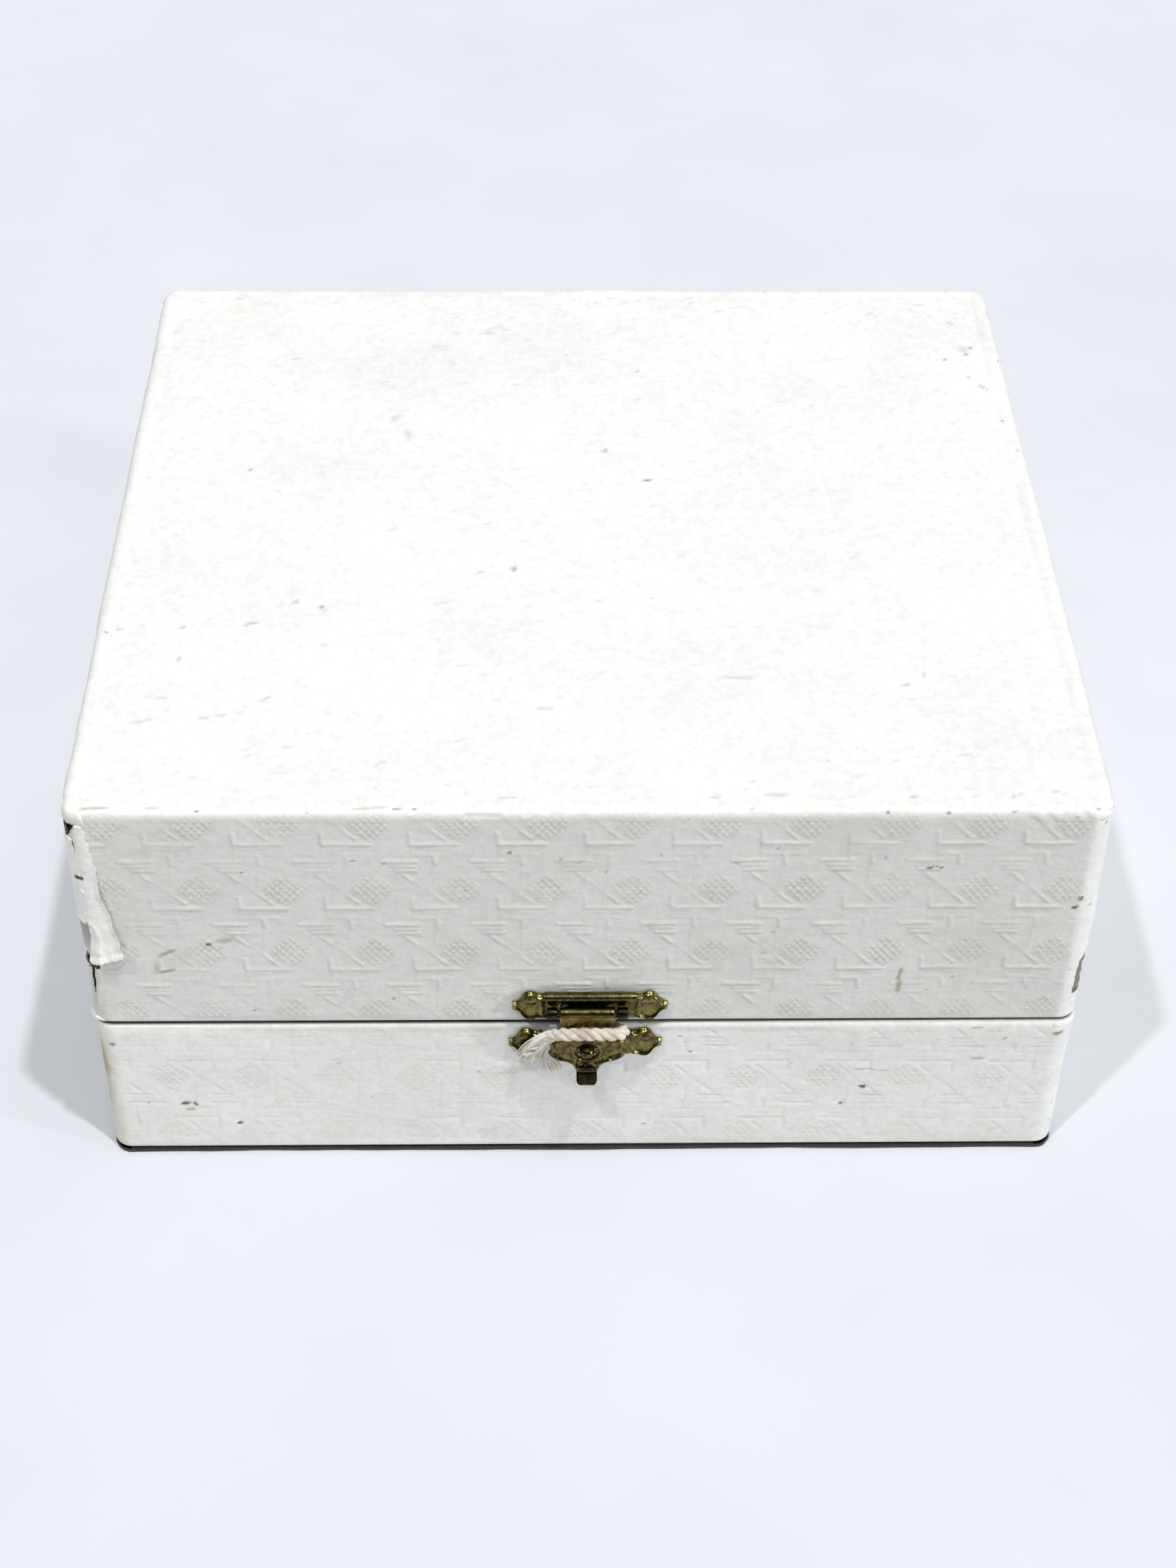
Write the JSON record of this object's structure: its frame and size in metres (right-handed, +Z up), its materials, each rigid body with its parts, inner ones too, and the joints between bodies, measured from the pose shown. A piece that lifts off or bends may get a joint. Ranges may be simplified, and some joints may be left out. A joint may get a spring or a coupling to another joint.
{
  "type": "travel jewelry case",
  "caption": "Leatherette-covered board jewelry case with a deep hinged lid, a brass hasp clasp tied with twine, a lid mirror and a lift-out tray with ring rolls.",
  "frame": {"origin": "centre of the underside of the case, on the surface it stands on", "axes": "+X to the right as seen from the clasp side, +Y from the clasp towards the rear hinges, +Z up"},
  "size_m": [0.16, 0.1621, 0.0775],
  "materials": {
    "leatherette": "embossed white leatherette paper, satin, worn at the edges",
    "grey_board": "raw pressed grey board",
    "dark_felt": "thin dark felt",
    "satin": "pale blue-grey satin glued on card",
    "velvet": "grey-blue velvet on card",
    "brass": "stamped brass, aged, dark in the hollows",
    "gilt_paper": "gilt pressed paper",
    "silvered_glass": "silvered, bevelled edge",
    "cotton": "laid three-ply cotton twine, frayed ends"
  },
  "bodies": {
    "base": {"base_back_board": "grey_board", "base_back_lining": "satin", "base_bottom_sheet": "dark_felt", "base_floor_board": "grey_board", "base_floor_lining": "satin", "base_front_board": "grey_board", "base_front_lining": "satin", "base_left_board": "grey_board", "base_left_lining": "satin", "base_right_board": "grey_board", "base_right_lining": "satin", "base_wrap": "leatherette", "clasp_base_plate": "brass", "clasp_stud": "brass", "hinge_left_base_leaf": "brass", "hinge_left_pin": "brass", "hinge_right_base_leaf": "brass", "hinge_right_pin": "brass", "tray_ledge_left": "velvet", "tray_ledge_right": "velvet"},
    "lid": {"clasp_hinge_pin": "brass", "clasp_lid_plate": "brass", "hinge_left_lid_leaf": "brass", "hinge_right_lid_leaf": "brass", "lid_back_board": "grey_board", "lid_back_lining": "satin", "lid_front_board": "grey_board", "lid_front_lining": "satin", "lid_left_board": "grey_board", "lid_left_lining": "satin", "lid_right_board": "grey_board", "lid_right_lining": "satin", "lid_top_board": "grey_board", "lid_top_lining": "satin", "lid_wrap": "leatherette", "mirror": "silvered_glass", "mirror_frame": "gilt_paper"},
    "hasp": {"clasp_hasp": "brass", "clasp_twine": "cotton"},
    "tray": {"ring_roll_1": "velvet", "ring_roll_2": "velvet", "ring_roll_3": "velvet", "ring_roll_4": "velvet", "ring_roll_5": "velvet", "ring_roll_6": "velvet", "tray_back_divider": "velvet", "tray_back_wall": "velvet", "tray_floor": "velvet", "tray_front_divider": "velvet", "tray_front_wall": "velvet", "tray_left_wall": "velvet", "tray_long_divider": "velvet", "tray_pull_left": "satin", "tray_pull_right": "satin", "tray_right_wall": "velvet"}
  },
  "joints": [
    {"name": "lid_hinge", "type": "hinge", "parent": "base", "child": "lid", "pos_m": [0, 0.0783, 0.0315], "axis": [-1, 0, 0], "range_deg": [0, 100]},
    {"name": "hasp_hinge", "type": "hinge", "parent": "lid", "child": "hasp", "pos_m": [0, -0.0788, 0.0361], "axis": [-1, 0, 0], "range_deg": [0, 110]},
    {"name": "tray_lift", "type": "slide", "parent": "base", "child": "tray", "axis": [0, 0, 1], "range_m": [0, 0.025]}
  ]
}
